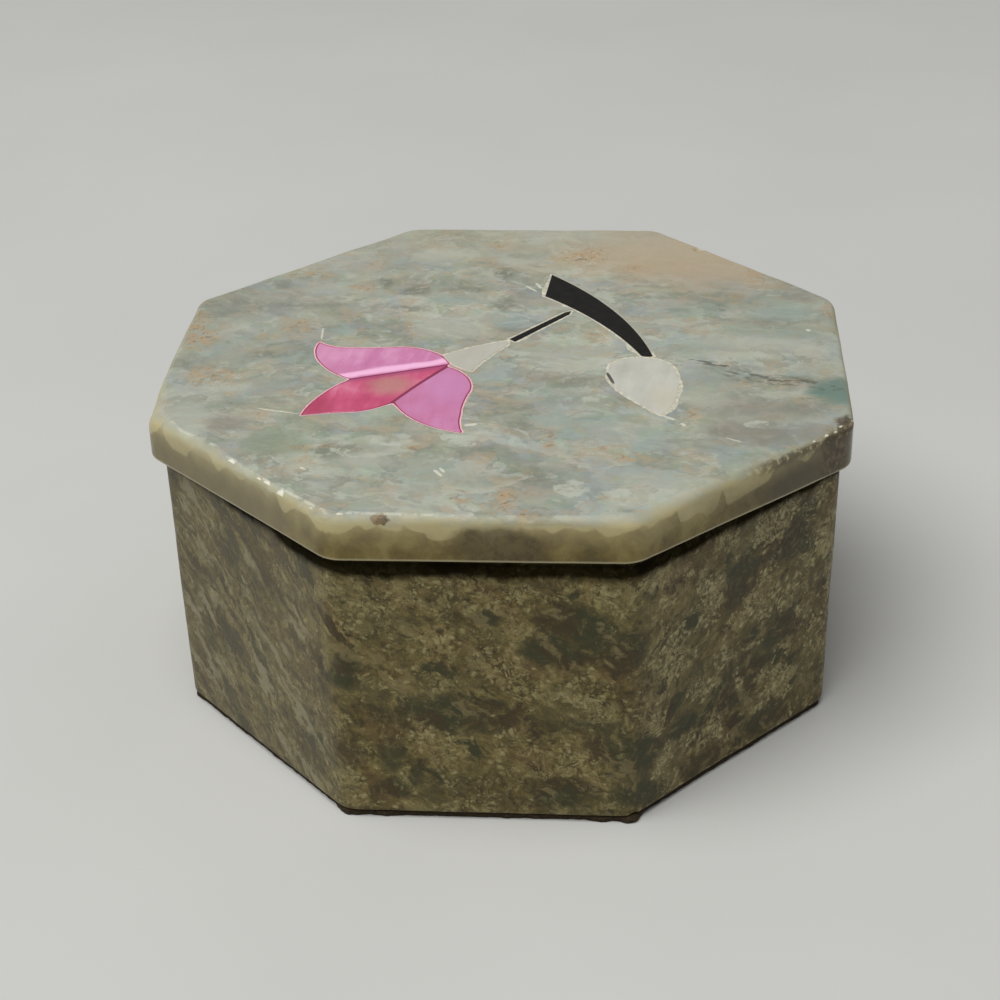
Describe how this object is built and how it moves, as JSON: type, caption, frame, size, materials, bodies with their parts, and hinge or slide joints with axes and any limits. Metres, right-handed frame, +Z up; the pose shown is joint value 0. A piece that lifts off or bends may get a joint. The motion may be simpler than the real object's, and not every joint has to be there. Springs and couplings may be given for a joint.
{
  "type": "trinket box",
  "caption": "Eight-sided carved stone trinket box with a lift-off lid inlaid with a shell flower and bud, on a felt base.",
  "frame": {"origin": "centre of the underside of the felt base", "axes": "+Z up, the way the lid lifts; -Y towards the front side, below the flower; +X to the right seen from the front"},
  "size_m": [0.0762, 0.0762, 0.0378],
  "materials": {
    "body_stone": "satin",
    "felt": "matte",
    "lid_stone": "gloss",
    "cement": "matte",
    "shell_pink": "gloss",
    "shell_rose": "gloss",
    "shell_mauve": "gloss",
    "shell_pale": "gloss",
    "black_stone": "satin"
  },
  "bodies": {
    "box": {"body_shell": "body_stone", "base_felt": "felt"},
    "lid": {"lid_slab": "lid_stone", "inlay_cement": "cement", "petal_back": "shell_pink", "petal_middle": "shell_rose", "petal_front": "shell_mauve", "calyx": "shell_pale", "flower_stem": "black_stone", "main_stem": "black_stone", "bud": "shell_pale"}
  },
  "joints": [
    {"name": "lid_lift", "type": "slide", "parent": "box", "child": "lid", "axis": [0, 0, 1], "range_m": [0, 0.06]}
  ]
}
